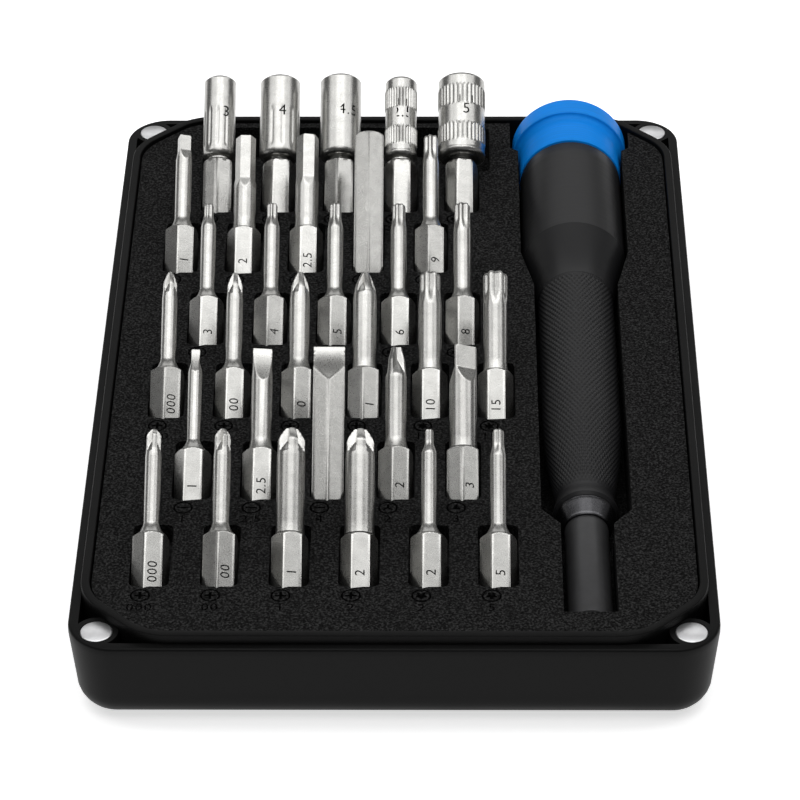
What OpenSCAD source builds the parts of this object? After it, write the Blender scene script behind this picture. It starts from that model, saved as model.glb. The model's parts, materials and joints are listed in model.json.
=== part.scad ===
// Precision screwdriver set: an open case base with a foam insert,
// 32 hex bits in inclined slots and one driver with a swivel cap.
// Origin: centre of the case's bottom face. +X right, +Y towards the rear, +Z up.

/* [Case] */
// Outer width of the case at its rim
case_w = 79.3; // [79:0.1:84]
// Outer length of the case at its rim
case_l = 123.7; // [123:0.1:130]
// Height of the rim ledge above the bottom
rim_h = 12; // [12:0.1:14]
// Height of the lip above the rim ledge
lip_rise = 1.3; // [0.8:0.1:2]
// Corner radius of the case at its rim
corner_r = 5.8; // [5:0.1:7]
// Radius between the walls and the bottom
bottom_r = 4; // [2:0.5:5]
// Width of the ledge outside the lip
ledge = 1.15; // [1:0.05:1.3]
// Thickness of the lip
lip_t = 1.1; // [0.8:0.1:1.3]
// Length cut off each corner of the lip
lip_cut = 8; // [7.8:0.1:8.6]
// Thickness of the case floor
floor_t = 1.2; // [0.8:0.1:1.4]

/* [Magnets] */
// Diameter of a corner magnet
magnet_d = 4; // [3:0.1:4.4]
// Thickness of a corner magnet
magnet_t = 2; // [1:0.1:4]
// Distance from a magnet's centre to the outer edges of the case
magnet_inset = 3.6; // [3.5:0.1:3.9]

/* [Bits] */
// Across flats of the hex shank
hex_af = 4; // [3.9:0.01:4.05]
// Length of a bit
bit_l = 28; // [26:0.5:30]
// Length of the hex shank
shank_l = 14; // [13:0.5:15]
// Angle of a bit above the horizontal
tilt = 33; // [31:1:35]
// Length of a bit hidden below the foam, along its axis
bit_hidden = 9.9; // [9.4:0.1:10.6]
// Distance between the slots of one row
column_pitch = 8.6; // [8.5:0.1:8.8]

/* [Driver] */
// Distance of the driver's axis from the centre of the case
driver_x = 24; // [23.5:0.1:25]
// Height of the driver's axis above the bottom
driver_z = 10; // [9.8:0.1:10.5]
// Position of the bit holder's open end
driver_y = -55; // [-55.5:0.1:-54.5]
// Diameter of the bit holder
holder_d = 5.6; // [5.5:0.1:6]
// Diameter of the knurled grip
grip_d = 10.3; // [9.5:0.1:10.8]
// Diameter of the handle's barrel
barrel_d = 14.2; // [13.5:0.1:14.6]
// Largest diameter of the swivel cap
cap_d = 16.4; // [15.5:0.1:16.6]

/* [Hidden] */
$fn = 64;
HULL_FN = 32;
ARC_STEPS = 6;

// Lowest point of a nut socket's head and top of its shank
head_s = 15.6;
nut_shank_l = 15.2;

// Clearances
bit_gap = 0.15;
driver_gap = 0.3;
press_gap = 0.02;
foam_gap = 0.2;

lip_top = rim_h + lip_rise;
foam_top = lip_top - 0.5;
lip_r = 8;

// Stations along the driver, measured from the holder's open end
ferrule_s = 19.4;
handle_s = 22.3;
knurl_end_s = 25.5;
taper_s = 43.2;
neck_s = 71.5;
flare_s = 76.6;
barrel_s = 81;
handle_end_s = 102.3;
cap_s = 102.45;
flange_s = 108.6;
cap_end_s = 114.1;
shoulder_s = 20.6;
socket_depth = 8;
holder_l = 44;
axle_d = 3;
axle_s = 92;
axle_end_s = 110.9;
bearing_d = 6;
bearing_l = 5.6;
clip_s = 109.6;
clip_t = 0.6;

// Rows of bits: [near end of the slot, first column's X, bits]
// A bit: [name, kind, tip width, shaft diameter, roll about its own axis from flat side up]
ROWS = [
    [-50.4, -30.2, [
        ["bit_cross_000", "cross", 1.8, 2.0, 14],
        ["bit_cross_00", "cross", 2.0, 2.15, 24],
        ["bit_cross_1", "cross", 3.4, 3.5, 12],
        ["bit_cross_2", "cross", 3.5, 3.65, 6],
        ["bit_pentalobe_2", "pentalobe", 1.1, 1.9, 10],
        ["bit_pentalobe_5", "pentalobe", 1.5, 2.0, 8]]],
    [-32.4, -25.9, [
        ["bit_slot_1", "slot", 1.1, 1.75, 4],
        ["bit_slot_2_5", "slot", 2.5, 2.65, 8],
        ["bit_slot_4", "wide_slot", 4.0, 4.0, 30],
        ["bit_three_wing_2", "three_wing", 2.3, 2.7, 18],
        ["bit_triangle_3", "triangle", 3.3, 3.5, 26]]],
    [-14.6, -30.2, [
        ["bit_pointed_cross_000", "cross", 1.8, 2.0, 22],
        ["bit_pointed_cross_00", "cross", 2.0, 2.15, 10],
        ["bit_pointed_cross_0", "cross", 2.4, 2.6, 16],
        ["bit_pointed_cross_1", "cross", 2.9, 3.05, 24],
        ["bit_hexalobe_10", "hexalobe", 2.7, 3.0, 4],
        ["bit_hexalobe_15", "hexalobe", 3.3, 3.1, 2]]],
    [2.3, -25.9, [
        ["bit_hexalobe_3", "hexalobe", 1.3, 2.0, 12],
        ["bit_hexalobe_4", "hexalobe", 1.45, 2.05, 20],
        ["bit_hexalobe_5", "hexalobe", 1.6, 2.1, 16],
        ["bit_hexalobe_6", "hexalobe", 1.8, 2.15, 8],
        ["bit_hexalobe_8", "hexalobe", 2.2, 2.35, 14]]],
    [19.9, -30.2, [
        ["bit_square_1", "square", 1.5, 2.2, 18],
        ["bit_hex_2", "long_hex", 2.4, 3.05, 2],
        ["bit_hex_2_5", "long_hex", 2.7, 3.15, 10],
        ["bit_hex_4", "wide_hex", 4.0, 4.0, 30],
        ["bit_hexalobe_9", "hexalobe", 2.05, 2.2, 20]]],
    [35.3, -25.9, [
        ["nut_socket_3", "nut", 4.5, 3.0, 28],
        ["nut_socket_4", "nut", 5.65, 4.0, 10],
        ["nut_socket_4_5", "nut", 5.8, 4.5, 24],
        ["nut_socket_2_5", "nut", 4.6, 2.5, 6],
        ["nut_socket_5", "nut", 6.7, 5.0, 12]]]];

// Every bit with its place: [slot's near end, X, bit]
BITS = [for (row = ROWS) for (i = [0 : len(row[2]) - 1])
    [row[0], row[1] + i * column_pitch, row[2][i]]];

// ---------- outlines ----------

function unit(v) = v / norm(v);

// Points of an arc of radius r that rounds the corner p between a and b
function corner_arc(a, p, b, r) =
    let (ua = unit(a - p), ub = unit(b - p),
         half = acos(ua * ub) / 2,
         centre = p + unit(ua + ub) * r / sin(half),
         first = p + ua * r / tan(half) - centre,
         last = p + ub * r / tan(half) - centre,
         start = atan2(first[1], first[0]),
         turn = atan2(last[1], last[0]) - start,
         sweep = turn > 180 ? turn - 360 : turn < -180 ? turn + 360 : turn)
    [for (i = [0 : ARC_STEPS])
        centre + r * [cos(start + sweep * i / ARC_STEPS), sin(start + sweep * i / ARC_STEPS)]];

function rounded(points, r) =
    let (n = len(points))
    [for (i = [0 : n - 1])
        each corner_arc(points[(i + n - 1) % n], points[i], points[(i + 1) % n], r)];

function rectangle(w, l) = [[w, l] / 2, [-w, l] / 2, [-w, -l] / 2, [w, -l] / 2];

// Rectangle with its corners cut off at 45 degrees
function cut_rectangle(w, l, cut) =
    let (x = w / 2, y = l / 2)
    [[x, y - cut], [x - cut, y], [cut - x, y], [-x, y - cut],
     [-x, cut - y], [cut - x, -y], [x - cut, -y], [x, cut - y]];

// Outline of the lip, moved inwards by inset from its outer face
function lip_outline(inset) =
    let (shrink = 2 * (ledge + inset))
    rounded(cut_rectangle(case_w - shrink, case_l - shrink, lip_cut - inset * (2 - sqrt(2))),
            lip_r - inset);

// ---------- placing ----------

module at_corners() {
    for (sx = [-1, 1], sy = [-1, 1])
        translate([sx * (case_w / 2 - magnet_inset), sy * (case_l / 2 - magnet_inset)])
            children();
}

// Half extent of a hex prism, rolled by roll, towards the given angle from its flat side
function hex_half(af, roll, angle) =
    let (off = abs((roll + angle + 600) % 60 - 30))
    af / cos(30) / 2 * cos(off);

// Puts a bit's own frame (axis +Z, bottom at 0) into its slot
module in_slot(near_y, x, roll) {
    reach = hex_half(hex_af, roll, 0) / sin(tilt);
    translate([x, near_y + reach - bit_hidden * cos(tilt), foam_top - bit_hidden * sin(tilt)])
        rotate([tilt - 90, 0, 0])
            children();
}

module on_driver(station = 0) {
    translate([driver_x, driver_y + station, driver_z])
        rotate([-90, 0, 0])
            children();
}

module hex_prism(af, h) {
    cylinder(d = af / cos(30), h = h, $fn = 6);
}

// ---------- case ----------

module case_body() {
    wall_lean = 0.7;
    hull() {
        for (sx = [-1, 1], sy = [-1, 1]) {
            translate([sx * (case_w / 2 - wall_lean - bottom_r),
                       sy * (case_l / 2 - wall_lean - bottom_r), bottom_r])
                sphere(r = bottom_r, $fn = HULL_FN);
            translate([sx * (case_w / 2 - corner_r), sy * (case_l / 2 - corner_r), rim_h - 1])
                cylinder(r = corner_r, h = 0.7, $fn = HULL_FN);
            translate([sx * (case_w / 2 - corner_r), sy * (case_l / 2 - corner_r), rim_h - 0.3])
                cylinder(r1 = corner_r, r2 = corner_r - 0.3, h = 0.3, $fn = HULL_FN);
        }
    }
}

module corner_wells() {
    wall = ledge + 0.1;
    well_floor = 5;
    translate([0, 0, well_floor])
        linear_extrude(lip_top)
            difference() {
                polygon(rounded(rectangle(case_w - 2 * wall, case_l - 2 * wall), corner_r - wall));
                polygon(lip_outline(0));
                at_corners() circle(d = magnet_d + 1.4);
            }
}

module base_tray() {
    color([0.06, 0.06, 0.06])
        difference() {
            union() {
                case_body();
                translate([0, 0, rim_h - 1])
                    linear_extrude(lip_rise + 1)
                        polygon(lip_outline(0));
            }
            translate([0, 0, floor_t])
                linear_extrude(lip_top)
                    polygon(lip_outline(lip_t));
            corner_wells();
            translate([0, 0, rim_h - magnet_t])
                at_corners() cylinder(d = magnet_d + 2 * press_gap, h = 2 * magnet_t);
        }
}

module magnet(sx, sy) {
    color([0.85, 0.85, 0.87])
        translate([sx * (case_w / 2 - magnet_inset), sy * (case_l / 2 - magnet_inset),
                   rim_h - magnet_t])
            cylinder(d = magnet_d, h = magnet_t);
}

// ---------- foam ----------

module slot_opening(near_y, x, width) {
    slot_l = 12.6;
    slot_depth = 2.6;
    translate([x, near_y + slot_l / 2, foam_top - slot_depth])
        linear_extrude(2 * slot_depth)
            polygon(rounded(rectangle(width, slot_l), 0.9));
}

module bit_pocket(near_y, x, bit) {
    af = hex_af + 2 * bit_gap;
    roll = bit[4];
    slot_opening(near_y, x, 2 * hex_half(af, roll, 90) + bit_gap);
    in_slot(near_y, x, roll)
        translate([0, 0, -bit_gap])
            rotate([0, 0, roll])
                hex_prism(af, bit_l);
    if (bit[1] == "nut")
        in_slot(near_y, x, roll)
            translate([0, 0, head_s - 0.8])
                cylinder(d = bit[2] + 0.6, h = bit_l);
}

// Half of the recess outline: [half width, station]
function recess_side() =
    let (holder_w = holder_d / 2 + 0.55, grip_w = grip_d / 2 + 0.55,
         barrel_w = barrel_d / 2 + 0.3, cap_w = cap_d / 2 + 0.3)
    [[holder_w, -driver_gap], [holder_w, shoulder_s - 3], [grip_w, shoulder_s],
     [grip_w, neck_s + 0.5], [barrel_w, barrel_s - 1], [barrel_w, flange_s - 1.8],
     [cap_w, flange_s - 1], [cap_w, cap_end_s + 1.5]];

// The recess from station from_s on, deep enough for a piece of diameter d
module recess_level(from_s, d) {
    side = recess_side();
    other = [for (i = [len(side) - 1 : -1 : 0]) [-side[i][0], side[i][1]]];
    translate([driver_x, driver_y, driver_z - d / 2 - driver_gap])
        linear_extrude(2 * foam_top)
            intersection() {
                polygon(concat(side, other));
                translate([-cap_d, from_s]) square([2 * cap_d, 2 * cap_end_s]);
            }
}

module driver_recess() {
    recess_level(-1, holder_d);
    recess_level(shoulder_s - 1, grip_d);
    recess_level(neck_s - 0.2, barrel_d);
    recess_level(flange_s - 1.4, cap_d);
}

module socket_trough() {
    trough_depth = 5;
    translate([-8, 52.2, foam_top - trough_depth])
        linear_extrude(2 * trough_depth)
            polygon(rounded(rectangle(41, 12), 1));
}

module foam_insert() {
    color([0.09, 0.09, 0.09])
        difference() {
            translate([0, 0, floor_t])
                linear_extrude(foam_top - floor_t)
                    polygon(lip_outline(lip_t + foam_gap));
            for (b = BITS) bit_pocket(b[0], b[1], b[2]);
            driver_recess();
            socket_trough();
        }
}

// ---------- bits ----------

// Hex body with both ends chamfered
module hex_body(length) {
    corner = hex_af / cos(30) / 2;
    intersection() {
        hex_prism(hex_af, length);
        rotate_extrude()
            polygon([[0, 0], [corner - 0.5, 0], [corner + 0.1, 0.6], [corner + 0.1, length - 0.6],
                     [corner - 0.5, length], [0, length]]);
    }
}

// Shoulder cone and round shaft, up to the height top
module shaft(d, top) {
    root = min(hex_af / 2 - 0.1, d / 2 + 0.9);
    rotate_extrude()
        polygon([[0, shank_l - 1], [root, shank_l - 1], [root, shank_l],
                 [d / 2, shank_l + 1.5], [d / 2, top], [0, top]]);
}

// Cone that narrows to the point of a bladed tip
module tip_cone(d, shaft_d, length) {
    rotate_extrude()
        polygon([[0, 0], [shaft_d / 2, 0], [d / 2, length * 0.35], [d / 2, length * 0.5],
                 [d * 0.17, length], [0, length]]);
}

// Blades at equal angles round the axis, cut to the cone
module bladed_tip(d, shaft_d, length, blades) {
    intersection() {
        tip_cone(d, shaft_d, length);
        union() {
            for (i = [0 : blades - 1])
                rotate([0, 0, i * 360 / blades])
                    translate([-d * 0.05, -d * 0.12, -0.5])
                        cube([d, d * 0.24, length + 1]);
            cylinder(d1 = shaft_d * 1.1, d2 = d * 0.28, h = length);
        }
    }
}

// Star prism with round hollows between its lobes
module lobed_tip(d, length, lobes) {
    linear_extrude(length)
        difference() {
            circle(d = d);
            for (i = [0 : lobes - 1])
                rotate((i + 0.5) * 360 / lobes)
                    translate([d * 0.52, 0])
                        circle(d = d * 1.5 / lobes);
        }
}

module blade_tip(width, root_d, length) {
    intersection() {
        cylinder(d1 = root_d * 0.98, d2 = width * 1.25, h = length);
        translate([-width / 2, 0, 0])
            rotate([90, 0, 90])
                linear_extrude(width)
                    polygon([[-root_d * 0.44, 0], [root_d * 0.44, 0], [width * 0.09, length],
                             [-width * 0.09, length]]);
    }
}

module driver_tip(kind, d, shaft_d, length) {
    if (kind == "cross") bladed_tip(d, shaft_d, length, 4);
    if (kind == "three_wing") bladed_tip(d, shaft_d, length, 3);
    if (kind == "pentalobe") lobed_tip(d, length, 5);
    if (kind == "hexalobe") lobed_tip(d, length, 6);
    if (kind == "square") cylinder(d = d / cos(45), h = length, $fn = 4);
    if (kind == "long_hex") hex_prism(d, length);
    if (kind == "triangle") cylinder(d = d, h = length, $fn = 3);
    if (kind == "slot") blade_tip(d, shaft_d, length);
}

module nut_head(d, recess_af) {
    difference() {
        union() {
            rotate_extrude()
                polygon([[0, head_s], [d / 2 - 0.5, head_s], [d / 2, head_s + 0.5],
                         [d / 2, bit_l - 0.4], [d / 2 - 0.4, bit_l], [0, bit_l]]);
            translate([0, 0, nut_shank_l - 1])
                cylinder(d = hex_af - 0.9, h = 2);
        }
        translate([0, 0, bit_l - 5])
            hex_prism(min(recess_af, (d - 0.8) * cos(30)), 6);
    }
}

module bit(spec) {
    kind = spec[1];
    tip_l = kind == "long_hex" ? 8 : min(4, 1.4 + spec[2]);
    color([0.62, 0.61, 0.58])
        rotate([0, 0, spec[4]]) {
            if (kind == "nut") {
                hex_body(nut_shank_l);
                nut_head(spec[2], spec[3]);
            } else if (kind == "wide_hex") {
                hex_body(bit_l);
            } else if (kind == "wide_slot") {
                difference() {
                    hex_body(bit_l);
                    for (side = [0, 180])
                        rotate([0, 0, side - spec[4]])
                            translate([-hex_af, 0.45, bit_l - 3])
                                rotate([-22, 0, 0])
                                    cube([2 * hex_af, hex_af, 6]);
                }
            } else {
                hex_body(shank_l);
                shaft(spec[3], bit_l - tip_l + 0.01);
                translate([0, 0, bit_l - tip_l])
                    driver_tip(kind, spec[2], spec[3], tip_l);
            }
        }
}

// ---------- driver ----------

module bit_holder() {
    color([0.2, 0.2, 0.21])
        on_driver()
            difference() {
                rotate_extrude()
                    polygon([[0, 0], [holder_d / 2 - 0.3, 0], [holder_d / 2, 0.3],
                             [holder_d / 2, holder_l], [0, holder_l]]);
                translate([0, 0, -1]) hex_prism(hex_af + 0.08, socket_depth + 1);
                cylinder(d = 3.6, h = socket_depth + 2.1);
            }
}

module holder_magnet() {
    color([0.8, 0.8, 0.82])
        on_driver(socket_depth + 0.1)
            cylinder(d = 3.5, h = 2);
}

module driver_ferrule() {
    color([0.3, 0.3, 0.31])
        on_driver(ferrule_s)
            rotate_extrude()
                polygon([[holder_d / 2 + press_gap, 0], [3.1, 0], [3.9, 2.5], [3.9, 2.9],
                         [holder_d / 2 + press_gap, 2.9]]);
}

module driver_handle() {
    color([0.12, 0.12, 0.12])
        on_driver()
            difference() {
                rotate_extrude()
                    polygon([[0, handle_s], [3.7, handle_s], [4.2, handle_s + 0.5],
                             [4.1, handle_s + 1.4], [3.7, knurl_end_s], [grip_d / 2, taper_s],
                             [grip_d / 2, neck_s - 0.6], [grip_d / 2 + 0.2, neck_s],
                             [grip_d / 2 + 0.9, flare_s], [barrel_d / 2, barrel_s],
                             [barrel_d / 2, handle_end_s - 0.4],
                             [barrel_d / 2 - 0.4, handle_end_s], [0, handle_end_s]]);
                cylinder(d = holder_d + 2 * press_gap, h = holder_l + press_gap);
                translate([0, 0, axle_s]) cylinder(d = axle_d + 2 * press_gap, h = 20);
            }
}

module cap_axle() {
    color([0.7, 0.7, 0.7])
        on_driver(axle_s + press_gap)
            difference() {
                cylinder(d = axle_d, h = axle_end_s - axle_s);
                translate([0, 0, clip_s - axle_s])
                    difference() {
                        cylinder(d = axle_d + 1, h = clip_t + 0.1);
                        cylinder(d = axle_d - 0.6, h = clip_t + 0.1);
                    }
            }
}

module cap_bearing() {
    color([0.75, 0.6, 0.3])
        on_driver(cap_s + 0.1)
            difference() {
                cylinder(d = bearing_d, h = bearing_l);
                translate([0, 0, -1]) cylinder(d = axle_d + 0.1, h = bearing_l + 2);
            }
}

module cap_clip() {
    color([0.6, 0.6, 0.6])
        on_driver(clip_s + 0.07)
            difference() {
                cylinder(d = axle_d + 1.8, h = clip_t);
                translate([0, 0, -1]) cylinder(d = axle_d - 0.5, h = clip_t + 2);
            }
}

module swivel_cap() {
    collar_d = 14.5;
    color([0.06, 0.5, 0.92])
        on_driver()
            difference() {
                rotate_extrude()
                    polygon([[0, cap_s], [collar_d / 2 - 0.5, cap_s], [collar_d / 2, cap_s + 0.5],
                             [collar_d / 2, flange_s - 1.6], [cap_d / 2 - 0.2, flange_s],
                             [cap_d / 2, flange_s + 0.3], [cap_d / 2, flange_s + 3],
                             [cap_d / 2 - 1.1, cap_end_s - 0.9], [cap_d / 2 - 3, cap_end_s - 0.2],
                             [0, cap_end_s]]);
                cylinder(d = bearing_d + 2 * press_gap, h = cap_s + 0.1 + bearing_l + 0.05);
                cylinder(d = bearing_d - 0.4, h = axle_end_s + 0.4);
            }
}

// ---------- the set ----------

base_tray();
foam_insert();
magnet(-1, -1);  // magnet_front_left
magnet(1, -1);  // magnet_front_right
magnet(-1, 1);  // magnet_rear_left
magnet(1, 1);  // magnet_rear_right
driver_handle();
driver_ferrule();
bit_holder();
holder_magnet();
cap_axle();
cap_bearing();
cap_clip();
swivel_cap();
for (b = BITS)
    in_slot(b[0], b[1], b[2][4]) bit(b[2]);
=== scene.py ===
"""Precision screwdriver set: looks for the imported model. Lengths in millimetres, times MM for metres."""
import json
import math

import bmesh
import bpy
from mathutils import Matrix, Vector


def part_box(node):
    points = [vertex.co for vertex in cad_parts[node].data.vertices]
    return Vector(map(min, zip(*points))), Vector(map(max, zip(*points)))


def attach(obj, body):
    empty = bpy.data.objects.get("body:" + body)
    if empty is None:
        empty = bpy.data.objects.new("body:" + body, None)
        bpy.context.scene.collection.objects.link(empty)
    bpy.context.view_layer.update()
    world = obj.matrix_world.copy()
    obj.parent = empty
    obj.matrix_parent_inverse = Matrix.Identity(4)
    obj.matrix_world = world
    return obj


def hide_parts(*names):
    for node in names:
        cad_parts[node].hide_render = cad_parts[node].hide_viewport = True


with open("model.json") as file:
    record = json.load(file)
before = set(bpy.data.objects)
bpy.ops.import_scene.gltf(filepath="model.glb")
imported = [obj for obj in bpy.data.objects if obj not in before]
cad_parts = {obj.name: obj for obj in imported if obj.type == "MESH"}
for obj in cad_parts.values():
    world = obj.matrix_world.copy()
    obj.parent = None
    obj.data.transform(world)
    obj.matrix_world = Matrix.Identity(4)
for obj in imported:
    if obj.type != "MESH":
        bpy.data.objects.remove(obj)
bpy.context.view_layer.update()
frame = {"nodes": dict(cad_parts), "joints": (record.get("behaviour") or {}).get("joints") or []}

MM = 0.001
TAU = 2 * math.pi


# ---------- places taken from the frame ----------

def box_mm(node):
    """Lowest and highest corner of a CAD node, in millimetres."""
    low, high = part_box(node)
    return Vector(low) / MM, Vector(high) / MM


TRAY_LOW, TRAY_HIGH = box_mm("base_tray")
FOAM_LOW, FOAM_HIGH = box_mm("foam_insert")
MAGNET_LOW, MAGNET_HIGH = box_mm("magnet_front_left")
HOLDER_LOW, HOLDER_HIGH = box_mm("bit_holder")
FERRULE_LOW, FERRULE_HIGH = box_mm("driver_ferrule")
HANDLE_LOW, HANDLE_HIGH = box_mm("driver_handle")
CAP_LOW, CAP_HIGH = box_mm("swivel_cap")
CASE_W = TRAY_HIGH.x - TRAY_LOW.x
CASE_L = TRAY_HIGH.y - TRAY_LOW.y
LIP_TOP = TRAY_HIGH.z
FOAM_TOP = FOAM_HIGH.z
FLOOR_TOP = FOAM_LOW.z
RIM_Z = MAGNET_HIGH.z
LIFTS = {joint["child"]: Vector(joint["axis"]) for joint in frame["joints"]
         if joint["child"].endswith("_body")}
BIT_BODIES = sorted(LIFTS)


# ---------- camera, floor and light ----------

def camera():
    """Long lens, 35 degrees above the horizon, a little to the right of the set's middle."""
    pitch = math.radians(35.005)
    yaw = math.radians(-0.808)
    roll = math.radians(-0.429)
    forward = Vector((math.sin(yaw) * math.cos(pitch), math.cos(yaw) * math.cos(pitch),
                      -math.sin(pitch)))
    level = Vector((math.cos(yaw), -math.sin(yaw), 0))
    rise = level.cross(forward)
    right = level * math.cos(roll) + rise * math.sin(roll)
    up = rise * math.cos(roll) - level * math.sin(roll)
    data = bpy.data.cameras.new("camera")
    data.sensor_width = 36
    data.lens = 179.29
    data.clip_start = 0.01
    data.clip_end = 20
    cam = bpy.data.objects.new("camera", data)
    turn = Matrix((right, up, -forward)).transposed()
    cam.matrix_world = Matrix.Translation(Vector((6.31, -437.0, 311.5)) * MM) @ turn.to_4x4()
    bpy.context.scene.collection.objects.link(cam)
    bpy.context.scene.camera = cam


def area_light(name, place, target, size, power):
    data = bpy.data.lights.new(name, "AREA")
    data.shape = "RECTANGLE"
    data.size = size[0]
    data.size_y = size[1]
    data.energy = power
    lamp = bpy.data.objects.new(name, data)
    lamp.location = place
    aim = Vector(target) - Vector(place)
    lamp.rotation_euler = aim.to_track_quat("-Z", "Y").to_euler()
    bpy.context.scene.collection.objects.link(lamp)


def studio():
    bpy.context.scene.view_settings.view_transform = "Standard"
    world = bpy.data.worlds.new("studio")
    world.use_nodes = True
    world.node_tree.nodes["Background"].inputs["Color"].default_value = (1, 1, 1, 1)
    world.node_tree.nodes["Background"].inputs["Strength"].default_value = 0.16
    bpy.context.scene.world = world
    area_light("top_light", (0, -0.12, 0.8), (0, 0, 0), (0.6, 0.8), 2.2)
    area_light("rear_light", (0, 0.8, 0.56), (0, 0, 0), (1.1, 0.4), 1.5)
    area_light("left_strip", (-0.42, 0.05, 0.75), (0, 0, 0), (0.24, 0.9), 1.6)
    area_light("right_strip", (0.42, 0.05, 0.75), (0, 0, 0), (0.24, 0.9), 1.6)
    mesh = bpy.data.meshes.new("floor")
    half = 3.0
    mesh.from_pydata([(-half, -half, 0), (half, -half, 0), (half, half, 0), (-half, half, 0)], [],
                     [(0, 1, 2, 3)])
    floor = bpy.data.objects.new("floor", mesh)
    bpy.context.scene.collection.objects.link(floor)
    mat, shader, _ = new_material("floor_paper")
    shader.inputs["Base Color"].default_value = (0.9, 0.9, 0.9, 1)
    shader.inputs["Roughness"].default_value = 0.9
    shader.inputs["Specular IOR Level"].default_value = 0.1
    shader.inputs["Emission Color"].default_value = (1, 1, 1, 1)
    shader.inputs["Emission Strength"].default_value = 0.64
    mesh.materials.append(mat)


# ---------- materials ----------

def new_material(name):
    mat = bpy.data.materials.new(name)
    mat.use_nodes = True
    nodes = mat.node_tree.nodes
    return mat, nodes["Principled BSDF"], mat.node_tree


def add_node(tree, kind, **settings):
    node = tree.nodes.new(kind)
    for key, value in settings.items():
        setattr(node, key, value)
    return node


def noise(tree, scale, detail=2.0, roughness=0.5, stretch=None):
    """Noise in object space; scale is features per metre, stretch squeezes the axes."""
    coords = add_node(tree, "ShaderNodeTexCoord")
    node = add_node(tree, "ShaderNodeTexNoise")
    node.inputs["Scale"].default_value = scale
    node.inputs["Detail"].default_value = detail
    node.inputs["Roughness"].default_value = roughness
    source = coords.outputs["Object"]
    if stretch:
        mapping = add_node(tree, "ShaderNodeMapping")
        mapping.inputs["Scale"].default_value = stretch
        tree.links.new(source, mapping.inputs["Vector"])
        source = mapping.outputs["Vector"]
    tree.links.new(source, node.inputs["Vector"])
    return node.outputs["Fac"]


def ramp(tree, source, stops):
    """Colour ramp from (position, colour) stops."""
    node = add_node(tree, "ShaderNodeValToRGB")
    elements = node.color_ramp.elements
    while len(elements) < len(stops):
        elements.new(0.5)
    for element, (position, colour) in zip(elements, stops):
        element.position = position
        element.color = (*colour, 1)
    tree.links.new(source, node.inputs["Fac"])
    return node.outputs["Color"]


def spread(tree, source, low, high, from_low=0.3, from_high=0.7):
    node = add_node(tree, "ShaderNodeMapRange")
    node.inputs["From Min"].default_value = from_low
    node.inputs["From Max"].default_value = from_high
    node.inputs["To Min"].default_value = low
    node.inputs["To Max"].default_value = high
    tree.links.new(source, node.inputs["Value"])
    return node.outputs["Result"]


def bump(tree, shader, source, strength, distance):
    node = add_node(tree, "ShaderNodeBump")
    node.inputs["Strength"].default_value = strength
    node.inputs["Distance"].default_value = distance
    tree.links.new(source, node.inputs["Height"])
    tree.links.new(node.outputs["Normal"], shader.inputs["Normal"])


def grey(value):
    return (value, value, value)


def case_plastic():
    """Black moulded plastic with a fine satin texture."""
    mat, shader, tree = new_material("case_plastic")
    fine = noise(tree, 9000, 3)
    broad = noise(tree, 60, 2)
    tree.links.new(ramp(tree, broad, [(0.3, grey(0.0035)), (0.7, grey(0.0045))]),
                   shader.inputs["Base Color"])
    tree.links.new(spread(tree, broad, 0.40, 0.48), shader.inputs["Roughness"])
    shader.inputs["Specular IOR Level"].default_value = 0.09
    bump(tree, shader, fine, 0.12, 0.00004)
    return mat


def foam():
    """Dense black foam: fine light and dark cells."""
    mat, shader, tree = new_material("foam")
    cells = noise(tree, 3300, 3, 0.65)
    tree.links.new(ramp(tree, cells, [(0.36, grey(0.003)), (0.5, grey(0.012)), (0.66, grey(0.042))]),
                   shader.inputs["Base Color"])
    shader.inputs["Roughness"].default_value = 0.95
    shader.inputs["Specular IOR Level"].default_value = 0.05
    bump(tree, shader, cells, 0.6, 0.00012)
    return mat


def plain_black(name):
    mat, shader, _ = new_material(name)
    shader.inputs["Base Color"].default_value = (0.0015, 0.0015, 0.0015, 1)
    shader.inputs["Roughness"].default_value = 0.9
    shader.inputs["Specular IOR Level"].default_value = 0.02
    return mat


def satin_steel(name, colour, rough, shine=1.0):
    """Blasted steel: fine grain and slightly uneven satin."""
    mat, shader, tree = new_material(name)
    grain = noise(tree, 9000, 2)
    patches = noise(tree, 700, 2)
    dark = tuple(c * 0.86 for c in colour)
    tree.links.new(ramp(tree, patches, [(0.3, dark), (0.7, colour)]), shader.inputs["Base Color"])
    tree.links.new(spread(tree, grain, rough - 0.05, rough + 0.07), shader.inputs["Roughness"])
    shader.inputs["Metallic"].default_value = shine
    bump(tree, shader, grain, 0.15, 0.00003)
    return mat


def anodised(name, colour, rough, metal, gloss):
    """Satin anodised metal with faint turning marks."""
    mat, shader, tree = new_material(name)
    marks = noise(tree, 300, 3, 0.6, stretch=(0.4, 12, 0.4))
    dark = tuple(c * 0.85 for c in colour)
    tree.links.new(ramp(tree, marks, [(0.3, dark), (0.7, colour)]), shader.inputs["Base Color"])
    tree.links.new(spread(tree, marks, rough - 0.04, rough + 0.05), shader.inputs["Roughness"])
    shader.inputs["Metallic"].default_value = metal
    shader.inputs["Specular IOR Level"].default_value = gloss
    bump(tree, shader, marks, 0.06, 0.00003)
    return mat


# ---------- mesh building ----------

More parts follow.
